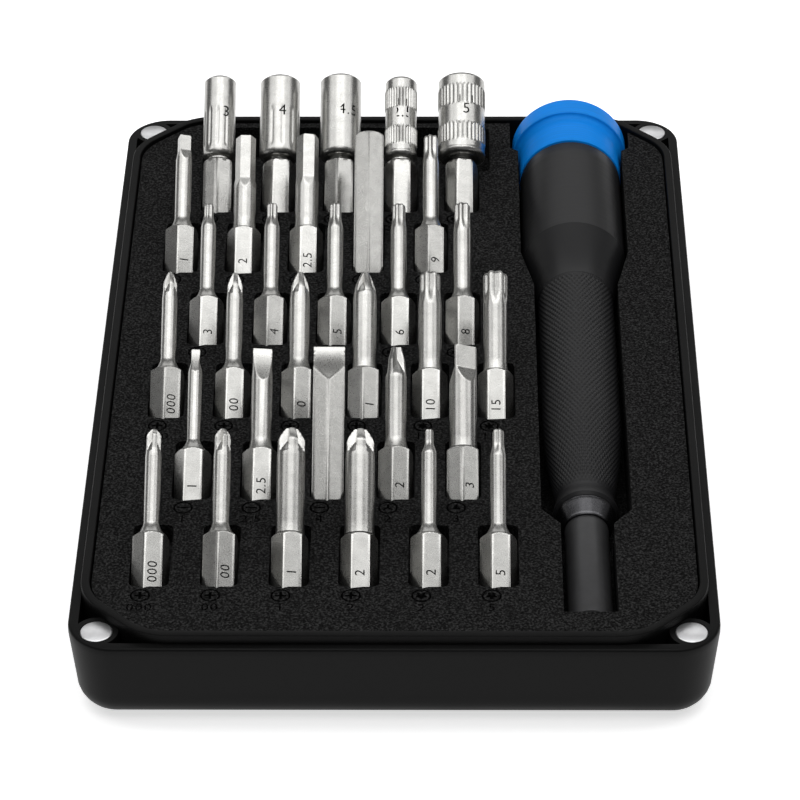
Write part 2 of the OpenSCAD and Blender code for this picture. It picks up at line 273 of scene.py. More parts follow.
def smooth_object(name, mesh, mat, angle=35):
    """Puts a mesh in the scene, smooth shaded except across sharp edges."""
    bm = bmesh.new()
    bm.from_mesh(mesh)
    bmesh.ops.recalc_face_normals(bm, faces=bm.faces)
    limit = math.radians(angle)
    for edge in bm.edges:
        sharp = len(edge.link_faces) == 2 and edge.calc_face_angle(0) > limit
        edge.smooth = not sharp
    for face in bm.faces:
        face.smooth = True
    bm.to_mesh(mesh)
    bm.free()
    mesh.materials.clear()
    mesh.materials.append(mat)
    obj = bpy.data.objects.new(name, mesh)
    bpy.context.scene.collection.objects.link(obj)
    return obj


def loft_mesh(name, rings):
    """Closed mesh through rings with equal numbers of points; fans fill its two ends."""
    count = len(rings[0])
    points = [p for ring in rings for p in ring]
    faces = []
    for level in range(len(rings) - 1):
        for i in range(count):
            j = (i + 1) % count
            a = level * count
            b = a + count
            faces.append((a + i, a + j, b + j, b + i))
    for start, flip in ((0, True), ((len(rings) - 1) * count, False)):
        middle = sum((Vector(points[start + i]) for i in range(count)), Vector()) / count
        points.append(tuple(middle))
        hub = len(points) - 1
        for i in range(count):
            j = (i + 1) % count
            face = (start + i, start + j, hub)
            faces.append(face[::-1] if flip else face)
    mesh = bpy.data.meshes.new(name)
    mesh.from_pydata([Vector(p) * MM for p in points], [], faces)
    mesh.update()
    return mesh


def polar_ring(radius_at, height, count):
    """Ring of points at angle t with radius radius_at(t)."""
    ring = []
    for i in range(count):
        t = TAU * i / count
        r = radius_at(t)
        ring.append((r * math.cos(t), r * math.sin(t), height))
    return ring


def revolve_mesh(name, profile, count=96):
    """Solid of revolution through (radius, height) pairs, from one end to the other."""
    rings = [polar_ring(lambda t, r=r: r, z, count) for r, z in profile]
    return loft_mesh(name, rings)


def lerp(a, b, t):
    return a + (b - a) * max(0.0, min(1.0, t))


def ease(t):
    t = max(0.0, min(1.0, t))
    return t * t * (3 - 2 * t)


# ---------- cross-sections ----------

def sector(theta, sides, phase=0.0):
    """Angle from the nearest of `sides` equal directions."""
    step = TAU / sides
    return (theta - phase + step / 2) % step - step / 2


def polygon_r(theta, sides, inner, phase=0.0):
    return inner / math.cos(sector(theta, sides, phase))


def blades_r(theta, blades, outer, half_t, core, phase=0.0):
    """Radius of `blades` flat blades round a core."""
    off = abs(math.sin(sector(theta, blades, phase)))
    reach = half_t / off if off > 1e-6 else outer
    return max(core, min(outer, reach))


def lobes_r(theta, lobes, outer, depth):
    """Radius of a star with round lobes; depth is the part of the radius cut between them."""
    wave = 0.5 + 0.5 * math.cos(lobes * theta)
    return outer * (1 - depth * (1 - wave ** 0.8))


# ---------- cutting ----------

def temp_object(name, mesh):
    obj = bpy.data.objects.new(name, mesh)
    bpy.context.scene.collection.objects.link(obj)
    return obj


def cut(target, cutter, how="DIFFERENCE", self_cut=False):
    """Boolean of target with cutter, applied to target's mesh. The cutter is removed."""
    tool = target.modifiers.new("cut", "BOOLEAN")
    tool.operation = how
    tool.solver = "EXACT"
    tool.use_self = self_cut
    tool.object = cutter
    graph = bpy.context.evaluated_depsgraph_get()
    result = bpy.data.meshes.new_from_object(target.evaluated_get(graph))
    target.modifiers.clear()
    target.data = result
    bpy.data.objects.remove(cutter)


def digits_mesh(words, size, thickness):
    """Solid digits lying flat, centred, facing +Z."""
    data = bpy.data.curves.new("digits", "FONT")
    data.body = words
    data.size = size * MM
    data.align_x = "CENTER"
    data.align_y = "CENTER"
    data.extrude = thickness * MM / 2
    data.resolution_u = 3
    data.space_character = 1.1
    holder = temp_object("digits", data)
    graph = bpy.context.evaluated_depsgraph_get()
    mesh = bpy.data.meshes.new_from_object(holder.evaluated_get(graph))
    bpy.data.objects.remove(holder)
    bm = bmesh.new()
    bm.from_mesh(mesh)
    bmesh.ops.remove_doubles(bm, verts=bm.verts, dist=0.002 * MM)
    bm.to_mesh(mesh)
    bm.free()
    return mesh


def size_words(node):
    """Size digits from a node's name: nut_socket_2_5 gives 2.5."""
    numbers = [part for part in node.split("_") if part.isdigit()]
    return ".".join(numbers)


# ---------- bits ----------

BIT_L = 28.0
SHANK_L = 14.0
HEX_INNER = 2.0
HEX_CORNER = HEX_INNER / math.cos(math.pi / 6)
FLAT_PHASE = math.radians(90)
RING_POINTS = 96

# kind, tip width, shaft diameter, roll in degrees; a nut socket's shaft is its hex recess
BITS = {
    "bit_cross_000": ("cross", 1.8, 2.0, 14),
    "bit_cross_00": ("cross", 2.0, 2.15, 24),
    "bit_cross_1": ("cross", 3.4, 3.5, 12),
    "bit_cross_2": ("cross", 3.5, 3.65, 6),
    "bit_pentalobe_2": ("pentalobe", 1.1, 1.9, 10),
    "bit_pentalobe_5": ("pentalobe", 1.5, 2.0, 8),
    "bit_slot_1": ("slot", 1.1, 1.75, 4),
    "bit_slot_2_5": ("slot", 2.5, 2.65, 8),
    "bit_slot_4": ("wide_slot", 4.0, 4.0, 30),
    "bit_three_wing_2": ("three_wing", 2.3, 2.7, 18),
    "bit_triangle_3": ("triangle", 3.3, 3.5, 26),
    "bit_pointed_cross_000": ("pointed", 1.8, 2.0, 22),
    "bit_pointed_cross_00": ("pointed", 2.0, 2.15, 10),
    "bit_pointed_cross_0": ("pointed", 2.4, 2.6, 16),
    "bit_pointed_cross_1": ("pointed", 2.9, 3.05, 24),
    "bit_hexalobe_10": ("hexalobe", 2.7, 3.0, 4),
    "bit_hexalobe_15": ("hexalobe", 3.2, 3.1, 2),
    "bit_hexalobe_3": ("hexalobe", 1.3, 2.0, 12),
    "bit_hexalobe_4": ("hexalobe", 1.45, 2.05, 20),
    "bit_hexalobe_5": ("hexalobe", 1.6, 2.1, 16),
    "bit_hexalobe_6": ("hexalobe", 1.8, 2.15, 8),
    "bit_hexalobe_8": ("hexalobe", 2.2, 2.35, 14),
    "bit_square_1": ("square", 1.5, 2.2, 18),
    "bit_hex_2": ("long_hex", 2.4, 3.05, 2),
    "bit_hex_2_5": ("long_hex", 2.7, 3.15, 10),
    "bit_hex_4": ("wide_hex", 4.0, 4.0, 30),
    "bit_hexalobe_9": ("hexalobe", 2.05, 2.2, 20),
    "nut_socket_3": ("nut", 4.5, 3.0, 28),
    "nut_socket_4": ("nut", 5.65, 4.0, 10),
    "nut_socket_4_5": ("nut", 5.8, 4.5, 24),
    "nut_socket_2_5": ("nut", 4.6, 2.5, 6),
    "nut_socket_5": ("nut", 6.7, 5.0, 12),
}
SHANK_DIGITS_Z = 8.5
SHANK_DIGITS_ZONE = (6.0, 11.5)
NUT_DIGITS_Z = 22.2
NUT_DIGITS_ZONE = (20.0, 24.5)
NUT_SHANK_TOP = 15.2
NUT_HEAD_LOW = 15.6
SERRATED = ("nut_socket_2_5", "nut_socket_5")
FLUTED = ("nut_socket_3", "nut_socket_4")


def shank_rings(top, top_chamfer=0.5, edge_r=1.68):
    """Rings of the hex shank, both ends chamfered by a cone."""
    rings = []
    levels = [(0, 1.81), (0.12, 1.98), (0.3, 2.16), (0.5, HEX_CORNER + 0.02)]
    for i in range(7):
        part = i / 6
        levels.append((top - top_chamfer * (1 - part), lerp(HEX_CORNER + 0.02, edge_r, part)))
    for z, limit in levels:
        rings.append(polar_ring(
            lambda t, c=limit: min(c, polygon_r(t, 6, HEX_INNER, FLAT_PHASE)), z, RING_POINTS))
    return rings


def tip_length(kind, d):
    if kind == "long_hex":
        return 8.0
    if kind in ("cross", "pointed"):
        return 3.8
    return min(5.2, 2.2 + d)


def cross_section(kind, d, shaft_d, up):
    """Four blades that leave the shaft and end in a blunt, rounded nose."""
    taper = d * (0.52 if kind == "cross" else 1.05) / tip_length(kind, d)
    end_r = d * (0.24 if kind == "cross" and d > 3 else 0.15)
    outer = lerp(shaft_d / 2, d / 2, up / 0.3)
    if up > 1 - taper:
        outer = lerp(d / 2, end_r, ((up - 1 + taper) / taper) ** 1.5)
    core = lerp(shaft_d * 0.52, d * 0.14, ease(up / 0.8))
    half_t = lerp(d * 0.22, d * 0.12, up)
    return lambda t: blades_r(t, 4, outer, half_t, min(core, outer))


def tip_section(kind, d, shaft_d, up):
    """Radius function of the tip; up runs from 0 where the tip leaves the shaft to 1 at its end."""
    tip_r = d / 2
    shaft_r = shaft_d / 2
    body_r = lerp(shaft_r, tip_r, ease(up / 0.55))
    if kind in ("cross", "pointed"):
        return cross_section(kind, d, shaft_d, up)
    if kind == "three_wing":
        outer = body_r if up < 0.6 else lerp(tip_r, d * 0.3, (up - 0.6) / 0.4)
        core = lerp(shaft_r * 1.05, d * 0.18, ease(up / 0.7))
        half_t = lerp(d * 0.22, d * 0.12, up)
        return lambda t: blades_r(t, 3, outer, half_t, min(core, outer), math.radians(90))
    if kind in ("pentalobe", "hexalobe"):
        lobes = 5 if kind == "pentalobe" else 6
        depth = 0.27 * ease((up - 0.05) / 0.5)
        outer = body_r - 0.12 * tip_r * max(0.0, up - 0.94) / 0.06
        return lambda t: lobes_r(t, lobes, outer, depth)
    if kind in ("long_hex", "square", "triangle"):
        sides = {"long_hex": 6, "square": 4, "triangle": 3}[kind]
        inner = tip_r if kind != "triangle" else tip_r * 0.62
        side = lerp(shaft_r * 1.02, inner, up / (0.2 if kind == "long_hex" else 0.4))
        limit = shaft_r - 0.1 * max(0.0, up - 0.97) / 0.03
        return lambda t: min(limit, polygon_r(t, sides, side, -FLAT_PHASE))
    half_t = d * 0.09 + (shaft_r - d * 0.09) * (1 - up) ** 1.5
    side_r = tip_r if up > 0.4 else body_r
    return lambda t: min(body_r, half_t / max(abs(math.sin(t)), 1e-6),
                         side_r / max(abs(math.cos(t)), 1e-6))


def slim_bit(name, kind, d, shaft_d):
    """Hex shank, shoulder, round shaft and tip."""
    rings = shank_rings(SHANK_L, edge_r=min(1.75, max(1.68, shaft_d / 2 + 0.1)))
    shaft_r = shaft_d / 2
    root = max(1.62, shaft_r + 0.1) if shaft_r < 1.6 else shaft_r + 0.06
    for i in range(9):
        z = SHANK_L + 1.5 * i / 8
        r = lerp(root, shaft_r, 1 - (1 - i / 8) ** 1.6)
        rings.append(polar_ring(lambda t, r=r: r, z, RING_POINTS))
    tip_l = tip_length(kind, d)
    steps = 34
    for i in range(steps + 1):
        up = i / steps
        section = tip_section(kind, d, shaft_d, up)
        rings.append(polar_ring(section, BIT_L - tip_l * (1 - up), RING_POINTS))
    return loft_mesh(name, rings)


def wide_bit(name, kind, roll):
    """Full-width hex body with a flat or a bladed end."""
    if kind == "wide_hex":
        return loft_mesh(name, shank_rings(BIT_L, 0.35, 2.05))
    rings = shank_rings(BIT_L, 0.3)[:4]
    steps = 26
    blade_l = 5.2
    for i in range(steps + 1):
        up = i / steps
        half_t = 0.42 + (HEX_CORNER - 0.42) * (1 - up) ** 1.6
        rings.append(polar_ring(
            lambda t, h=half_t: min(polygon_r(t, 6, HEX_INNER, FLAT_PHASE),
                                    h / max(abs(math.sin(t + roll)), 1e-6)),
            BIT_L - blade_l * (1 - up), RING_POINTS))
    return loft_mesh(name, rings)


def nut_bit(node, d, recess):
    """Hex shank with a round head that has a hex hole in its end."""
    count = 144
    r = d / 2
    neck_z = NUT_SHANK_TOP
    head_z = NUT_HEAD_LOW
    rings = []
    full = HEX_CORNER + 0.02
    levels = ((0, 1.81), (0.25, 2.1), (0.5, full), (neck_z - 0.7, full),
              (neck_z - 0.3, 2.15), (neck_z, 1.85))
    for ring_z, limit in levels:
        rings.append(polar_ring(
            lambda t, c=limit: min(c, polygon_r(t, 6, HEX_INNER, FLAT_PHASE)), ring_z, count))
    rings.append(polar_ring(lambda t: 1.55, neck_z + 0.05, count))
    rings.append(polar_ring(lambda t: 1.55, head_z - 0.02, count))
    round_r = 0.75
    for i in range(7):
        a = math.radians(15 * i)
        rings.append(polar_ring(lambda t, a=a: r - round_r + round_r * math.sin(a),
                                head_z + round_r * (1 - math.cos(a)), count))
    low = head_z + round_r
    high = BIT_L - 0.4
    steps = 60
    for i in range(1, steps + 1):
        z = lerp(low, high, i / steps)
        rings.append(polar_ring(lambda t, z=z: nut_wall(node, t, z, r, low, high), z, count))
    rim = r - 0.4
    rings.append(polar_ring(lambda t: r - 0.2, BIT_L - 0.2, count))
    rings.append(polar_ring(lambda t: rim, BIT_L, count))
    inner = min(recess / 2, (r - 0.4) * math.cos(math.pi / 6))
    mouth = min(inner / math.cos(math.pi / 6), rim - 0.08)
    rings.append(polar_ring(lambda t: min(mouth, polygon_r(t, 6, inner + 0.12)), BIT_L, count))
    rings.append(polar_ring(lambda t: polygon_r(t, 6, inner), BIT_L - 0.25, count))
    rings.append(polar_ring(lambda t: polygon_r(t, 6, inner), BIT_L - 5, count))
    return loft_mesh(node + "_steel", rings)


def nut_wall(node, theta, z, r, low, high):
    """Outside of a nut socket's head: grooved, serrated or plain by name."""
    part = (z - low) / (high - low)
    if node in SERRATED:
        band = 0.10 < part < 0.34 or 0.60 < part < 0.88
        return r - (0.13 * abs(math.sin(theta * 18)) if band else 0.06)
    if node in FLUTED:
        fade = ease((part - 0.03) / 0.08) * ease((0.62 - part) / 0.1)
        return r - 0.10 * fade * max(0.0, math.cos(theta * 12)) ** 2
    return r


def placed_like(mesh, node, axis, roll):
    """Turns a mesh built along +Z to lie along axis and moves its low corner to the node's."""
    swing = Vector((0, 0, 1)).rotation_difference(axis)
    mesh.transform(swing.to_matrix().to_4x4() @ Matrix.Rotation(roll, 4, "Z"))
    low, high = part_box(node)
    spots = [v.co for v in mesh.vertices]
    middle_x = (min(p.x for p in spots) + max(p.x for p in spots)) / 2
    shift = Vector(((low[0] + high[0]) / 2 - middle_x, low[1] - min(p.y for p in spots),
                    low[2] - min(p.z for p in spots)))
    mesh.transform(Matrix.Translation(shift))
    return shift / MM


def size_digits(node, d):
    """Solid digits of a bit's size, standing in the front of its shank or socket head."""
    if BITS[node][0] == "nut":
        mesh = digits_mesh(size_words(node), 2.3, 0.6)
        columns = (Vector((1, 0, 0)), Vector((0, 0, 1)), Vector((0, -1, 0)))
        spot = Vector((0, -d / 2 - 0.08, NUT_DIGITS_Z))
    else:
        mesh = digits_mesh(size_words(node), 1.75, 0.36)
        columns = (Vector((0, 0, 1)), Vector((-1, 0, 0)), Vector((0, -1, 0)))
        spot = Vector((0, -HEX_INNER, SHANK_DIGITS_Z))
    turn = Matrix(columns).transposed().to_4x4()
    mesh.transform(Matrix.Translation(spot * MM) @ turn)
    return mesh


def engraved(mesh, node, d):
    """Cuts the size digits into a bit; returns the mesh and the faces at the digits' bottoms."""
    piece = temp_object("engraved", mesh)
    cut(piece, temp_object("size_digits", size_digits(node, d)))
    mesh = piece.data
    bpy.data.objects.remove(piece)
    front = d / 2
    low, high = NUT_DIGITS_ZONE
    if BITS[node][0] != "nut":
        front = HEX_INNER
        low, high = SHANK_DIGITS_ZONE
    bottoms = []
    for face in mesh.polygons:
        place = face.center / MM
        depth = place.y + front
        in_zone = abs(place.x) < 1.8 and low < place.z < high
        if in_zone and face.normal.y < -0.99 and 0.1 < depth < 0.3:
            bottoms.append(face.index)
    return mesh, bottoms


def make_bits(steel, digit_groove_shade):
    """Makes every bit; returns each one's bottom centre in millimetres."""
    places = {}
    for body in BIT_BODIES:
        node = body[:-len("_body")]
        kind, d, shaft_d, roll = BITS[node]
        roll = math.radians(roll)
        if kind == "nut":
            mesh = nut_bit(node, d, shaft_d)
        elif kind.startswith("wide"):
            mesh = wide_bit(node + "_steel", kind, roll)
        else:
            mesh = slim_bit(node + "_steel", kind, d, shaft_d)
        bottoms = []
        if not kind.startswith("wide"):
            mesh, bottoms = engraved(mesh, node, d)
        places[node] = placed_like(mesh, node, LIFTS[body], roll)
        obj = smooth_object(node + "_steel", mesh, steel, 30)
        # The bottoms of the cut size digits get a plain black material: painted shade in the digit
        # grooves.
        mesh.materials.append(digit_groove_shade)
        for i in bottoms:
            mesh.polygons[i].material_index = 1
        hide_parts(node)
        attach(obj, body)
    return places


# ---------- case ----------

LEDGE = 1.15
LIP_T = 1.1
LIP_CUT = 8.0
LIP_R = 8.0
CORNER_R = 5.8
BOTTOM_R = 4.0
WALL_LEAN = 0.7
ARC_POINTS = 12


def arc_corner(before, corner, after, radius, points):
    """Arc that rounds a corner between two straight sides."""
    a = (before - corner).normalized()
    b = (after - corner).normalized()
    half = a.angle(b) / 2
    centre = corner + (a + b).normalized() * radius / math.sin(half)
    first = corner + a * radius / math.tan(half) - centre
    last = corner + b * radius / math.tan(half) - centre
    start = math.atan2(first.y, first.x)
    turn = math.atan2(last.y, last.x) - start
    turn = (turn + math.pi) % TAU - math.pi
    return [centre + Vector((math.cos(start + turn * i / (points - 1)),
                             math.sin(start + turn * i / (points - 1)))) * radius
            for i in range(points)]


def plan_outline(inset, radius, cut=0.0):
    """Outline of the case moved in by inset; with cut its corners are cut off at 45 degrees."""
    x = CASE_W / 2 - inset
    y = CASE_L / 2 - inset
    ring = []
    for sx, sy in ((1, 1), (-1, 1), (-1, -1), (1, -1)):
        sides = [Vector((sx * x, 0)), Vector((0, sy * y))]
        ends = [Vector((sx * x, sy * (y - cut))), Vector((sx * (x - cut), sy * y))]
        if sx * sy < 0:
            sides.reverse()
            ends.reverse()
        if cut:
            ring += arc_corner(sides[0], ends[0], ends[1], radius, ARC_POINTS)
            ring += arc_corner(ends[0], ends[1], sides[1], radius, ARC_POINTS)
        else:
            ring += arc_corner(sides[0], ends[0], sides[1], radius, 2 * ARC_POINTS)
    return ring


def lip_ring(inset, z):
    cut = LIP_CUT - inset * (2 - math.sqrt(2))
    return [(p.x, p.y, z) for p in plan_outline(LEDGE + inset, LIP_R - inset, cut)]


def wall_ring(inset, z):
    return [(p.x, p.y, z) for p in plan_outline(inset, CORNER_R - min(inset, 2), 0.0)]


def tray_mesh():
    """Outer wall with a rounded bottom, ledge, lip and inside, as one closed loft."""
    rings = []
    for i in range(9):
        a = math.radians(90 * i / 8)
        z = max(TRAY_LOW.z, BOTTOM_R * (1 - math.cos(a)))
        rings.append(wall_ring(WALL_LEAN + BOTTOM_R * (1 - math.sin(a)), z))
    rim_r = 0.35
    rings.append(wall_ring(0.0, RIM_Z - 1.1))
    for i in range(5):
        a = math.radians(90 * i / 4)
        rings.append(wall_ring(rim_r * (1 - math.cos(a)), RIM_Z - rim_r * (1 - math.sin(a))))
    lip_r = 0.22
    rings.append(lip_ring(0.0, RIM_Z))
    for i in range(4):
        a = math.radians(90 * i / 3)
        rings.append(lip_ring(lip_r * (1 - math.cos(a)), LIP_TOP - lip_r * (1 - math.sin(a))))
    for i in range(4):
        a = math.radians(90 * i / 3)
        rings.append(lip_ring(LIP_T - lip_r * (1 - math.sin(a)), LIP_TOP - lip_r * (1 - math.cos(a))))
    rings.append(lip_ring(LIP_T, FLOOR_TOP))
    return loft_mesh("base_tray_shell", rings)


def prism(name, outline, low, high):
    return loft_mesh(name, [[(p[0], p[1], low) for p in outline], [(p[0], p[1], high) for p in outline]])


def circle_points(x, y, r, count=40):
    return [(x + r * math.cos(TAU * i / count), y + r * math.sin(TAU * i / count)) for i in range(count)]


def magnet_centres():
    """Centres of the four corner magnets."""
    x = abs(MAGNET_LOW.x + MAGNET_HIGH.x) / 2
    y = abs(MAGNET_LOW.y + MAGNET_HIGH.y) / 2
    return [(sx * x, sy * y) for sx in (-1, 1) for sy in (-1, 1)]


def make_tray(plastic):
    """The tray's shell with four corner wells, a boss in each and a hole for its magnet."""
    obj = temp_object("wells", prism("wells", plan_outline(LEDGE + 0.12, CORNER_R - 1.27, 0.0), 5.0, 20))
    cut(obj, temp_object("keep", prism("keep", plan_outline(LEDGE - 0.001, LIP_R, LIP_CUT), 4.0, 21)))
    boss_r = (MAGNET_HIGH.x - MAGNET_LOW.x) / 2 + 0.7
    for x, y in magnet_centres():
        cut(obj, temp_object("boss", prism("boss", circle_points(x, y, boss_r), 4.0, 21)))
    shell = temp_object("shell", tray_mesh())
    cut(shell, obj)
    for x, y in magnet_centres():
        hole = prism("hole", circle_points(x, y, boss_r - 0.66), RIM_Z - 2, RIM_Z + 3)
        cut(shell, temp_object("hole", hole))
    mesh = shell.data
    bpy.data.objects.remove(shell)
    tray = smooth_object("base_tray_shell", mesh, plastic, 28)
    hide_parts("base_tray")
    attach(tray, "case")


def make_magnets(nickel):
    for node in ("magnet_front_left", "magnet_front_right", "magnet_rear_left", "magnet_rear_right"):
        low, high = box_mm(node)
        r = (high.x - low.x) / 2
        mesh = revolve_mesh(node + "_disc", [(r - 0.05, low.z), (r, low.z + 0.05), (r, high.z - 0.18),
                                             (r - 0.05, high.z - 0.06), (r - 0.16, high.z)], 64)
        mesh.transform(Matrix.Translation(Vector(((low.x + high.x) / 2, (low.y + high.y) / 2, 0)) * MM))
        disc = smooth_object(node + "_disc", mesh, nickel, 50)
        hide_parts(node)
        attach(disc, "case")


# ---------- foam ----------

ICON_R = 1.25
ICON_LINE = 0.26
ICON_AHEAD = 1.75
ICON_LEFT = 0.9
DIGITS_AHEAD = 4.15
DIGIT_SIZE = 2.0
MARK_DEPTH = 0.35


def symbol_outline(kind):
    """Outline of the drive's symbol, inside the icon's ring."""
    size = 0.72
    points = []
    for i in range(60):
        t = TAU * i / 60
        if kind in ("cross", "pointed"):
            r = blades_r(t, 4, size, 0.17, 0.2)
        elif kind == "three_wing":
            r = blades_r(t, 3, size, 0.15, 0.18, math.radians(90))
        elif kind in ("hexalobe", "pentalobe"):
            r = lobes_r(t + math.radians(90), 6 if kind == "hexalobe" else 5, size, 0.4)
        elif kind in ("slot", "wide_slot"):
            r = min(size, 0.14 / max(abs(math.sin(t)), 1e-6))
        elif kind == "square":
            r = polygon_r(t, 4, size * 0.7)
        elif kind == "triangle":
            r = polygon_r(t, 3, size * 0.5, math.radians(-90))
        else:
            r = polygon_r(t, 6, size * 0.85, FLAT_PHASE)
        points.append((r * math.cos(t), r * math.sin(t)))
    return points


def ring_cutter(x, y):
    """Ring-shaped groove as one closed mesh."""
    low = FOAM_TOP - MARK_DEPTH
    high = FOAM_TOP + MARK_DEPTH
    count = 48
    outer = circle_points(x, y, ICON_R, count)
    inner = circle_points(x, y, ICON_R - ICON_LINE, count)
    loops = [[(p[0], p[1], z) for p in side] for side, z in
             ((outer, low), (outer, high), (inner, high), (inner, low))]
    points = [p for loop in loops for p in loop]
    faces = []
    for k in range(4):
        a = k * count
        b = ((k + 1) % 4) * count
        for i in range(count):
            j = (i + 1) % count
            faces.append((a + i, a + j, b + j, b + i))
    mesh = bpy.data.meshes.new("ring")
    mesh.from_pydata([Vector(p) * MM for p in points], [], faces)
    return mesh


def icon_place(node, bottom):
    """Centre line and near end of the slot that a bit stands in."""
    axis = LIFTS[node + "_body"]
    reach = HEX_CORNER * math.cos(math.radians(30 - BITS[node][3]))
    cross_y = bottom.y + (FOAM_TOP - bottom.z) / axis.z * axis.y
    return bottom.x, cross_y - reach / axis.z


def joined(meshes, name):
    bm = bmesh.new()
    for mesh in meshes:
        bm.from_mesh(mesh)
    bmesh.ops.recalc_face_normals(bm, faces=bm.faces)
    mesh = bpy.data.meshes.new(name)
    bm.to_mesh(mesh)
    bm.free()
    return mesh


def make_foam(soft, foam_groove_shade, places):
    source = frame["nodes"]["foam_insert"]
    mesh = source.data.copy()
    mesh.transform(source.matrix_world)
    block = temp_object("foam_block", mesh)
    cutters = []
    for body in BIT_BODIES:
        node = body[:-len("_body")]
        x, near = icon_place(node, places[node])
        x -= ICON_LEFT
        cutters.append(ring_cutter(x, near - ICON_AHEAD))
        outline = [(x + px, near - ICON_AHEAD + py) for px, py in symbol_outline(BITS[node][0])]
        cutters.append(prism("sign", outline, FOAM_TOP - MARK_DEPTH, FOAM_TOP + MARK_DEPTH))
        digits = digits_mesh(size_words(node), DIGIT_SIZE, 2 * MARK_DEPTH)
        digits.transform(Matrix.Translation(Vector((x, near - DIGITS_AHEAD, FOAM_TOP)) * MM))
        cutters.append(digits)
    cut(block, temp_object("icons", joined(cutters, "icons")), self_cut=True)
    mesh = block.data
    bpy.data.objects.remove(block)
    piece = smooth_object("foam_block", mesh, soft, 30)
    # The bottoms of the cut icons and digits get a plain black material: painted shade in the foam
    # grooves.
    mesh.materials.append(foam_groove_shade)
    for face in mesh.polygons:
        if abs(face.center.z / MM - FOAM_TOP + MARK_DEPTH) < 0.01:
            face.material_index = 1
    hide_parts("foam_insert")
    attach(piece, "case")


# ---------- driver ----------

AXIS_X = (HOLDER_LOW.x + HOLDER_HIGH.x) / 2
AXIS_Z = (HOLDER_LOW.z + HOLDER_HIGH.z) / 2
NEAR_Y = HOLDER_LOW.y
HOLDER_R = (HOLDER_HIGH.x - HOLDER_LOW.x) / 2
HANDLE_S = HANDLE_LOW.y - NEAR_Y
HANDLE_END_S = HANDLE_HIGH.y - NEAR_Y
FERRULE_S = FERRULE_LOW.y - NEAR_Y
CAP_S = CAP_LOW.y - NEAR_Y
CAP_END_S = CAP_HIGH.y - NEAR_Y
CAP_R = (CAP_HIGH.x - CAP_LOW.x) / 2
BARREL_R = (HANDLE_HIGH.x - HANDLE_LOW.x) / 2
KNURL_END_S = 25.5
TAPER_S = 43.2
NECK_S = 71.5
BARREL_S = 81.0
GRIP_R = 5.15
KNURL_STARTS = 52
KNURL_PITCH = 1.2
KNURL_DEPTH = 0.12


def lay_on_axis(mesh):
    """Moves a mesh built along +Z onto the driver's axis, +Z to +Y."""
    mesh.transform(Matrix.Translation(Vector((AXIS_X, NEAR_Y, AXIS_Z)) * MM)
                   @ Matrix.Rotation(math.radians(-90), 4, "X"))


def place_driver_piece(name, mesh, mat, node, body, angle=35):
    lay_on_axis(mesh)
    obj = smooth_object(name, mesh, mat, angle)
    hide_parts(node)
    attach(obj, body)
    return obj


def grip_r(s):
    """Radius of the handle along its axis, without the knurl."""
    if s < HANDLE_S + 0.4:
        return lerp(3.85, 4.2, (s - HANDLE_S) / 0.4)
    if s < KNURL_END_S:
        return lerp(4.2, 3.7, ease((s - HANDLE_S - 0.4) / (KNURL_END_S - HANDLE_S - 0.4)))
    if s < TAPER_S:
        return lerp(3.7, GRIP_R, math.sin(math.pi / 2 * (s - KNURL_END_S) / (TAPER_S - KNURL_END_S)))
    if s < NECK_S:
        return GRIP_R
    return lerp(GRIP_R + 0.12, BARREL_R, ((s - NECK_S) / (BARREL_S - NECK_S)) ** 1.5)


def saw(value):
    """Triangle wave from 0 to 1 and back over each whole number."""
    return abs(2 * (value % 1.0) - 1)


def knurl(theta, s):
    """Depth cut by two crossing sets of spiral grooves."""
    around = theta * KNURL_STARTS / TAU
    along = s / KNURL_PITCH
    left = saw(around + along)
    right = saw(around - along)
    ends = ease((s - KNURL_END_S + 0.4) / 2.5) * ease((NECK_S - s) / 0.5)
    return KNURL_DEPTH * ends * (1 - min(1.0, 1.5 * left) * min(1.0, 1.5 * right))


def make_handle(black):
    count = KNURL_STARTS * 6
    stations = [HANDLE_S + i * 0.2 for i in range(int((KNURL_END_S - HANDLE_S) / 0.2))]
    stations += [KNURL_END_S - 0.2 + i * 0.15 for i in range(int((NECK_S - KNURL_END_S) / 0.15) + 1)]
    stations.append(NECK_S)
    stations += [NECK_S + 0.02 + i * 0.5 for i in range(int((BARREL_S - NECK_S) / 0.5) + 1)]
    rings = [polar_ring(lambda t: HOLDER_R + 0.02, HANDLE_S + 8, count),
             polar_ring(lambda t: HOLDER_R + 0.02, HANDLE_S, count)]
    for s in stations:
        base = grip_r(s)
        if KNURL_END_S - 0.5 < s < NECK_S:
            rings.append(polar_ring(lambda t, b=base, s=s: b - knurl(t, s), s, count))
        else:
            rings.append(polar_ring(lambda t, b=base: b, s, count))
    for r, s in ((BARREL_R, BARREL_S), (BARREL_R, BARREL_S + 0.3), (BARREL_R, HANDLE_END_S - 3),
                 (BARREL_R, HANDLE_END_S - 0.25), (BARREL_R - 0.08, HANDLE_END_S - 0.08),
                 (BARREL_R - 0.25, HANDLE_END_S)):
        rings.append(polar_ring(lambda t, r=r: r, s, count))
    place_driver_piece("handle_body", loft_mesh("handle_body", rings), black, "driver_handle", "driver",
                       40)


def make_ferrule(steel):
    end = FERRULE_HIGH.y - NEAR_Y
    big = (FERRULE_HIGH.x - FERRULE_LOW.x) / 2
    inner = HOLDER_R + 0.02
    small = HOLDER_R + 0.3
    profile = [(inner, FERRULE_S + 1.5), (inner, FERRULE_S),
               (small - 0.1, FERRULE_S), (small, FERRULE_S + 0.1)]
    profile += [(lerp(small, big, i / 8), lerp(FERRULE_S + 0.1, end - 0.4, i / 8)) for i in range(1, 9)]
    profile += [(big, end - 0.15), (big - 0.1, end), (inner, end)]
    place_driver_piece("ferrule_cone", revolve_mesh("ferrule_cone", profile), steel, "driver_ferrule",
                       "driver")


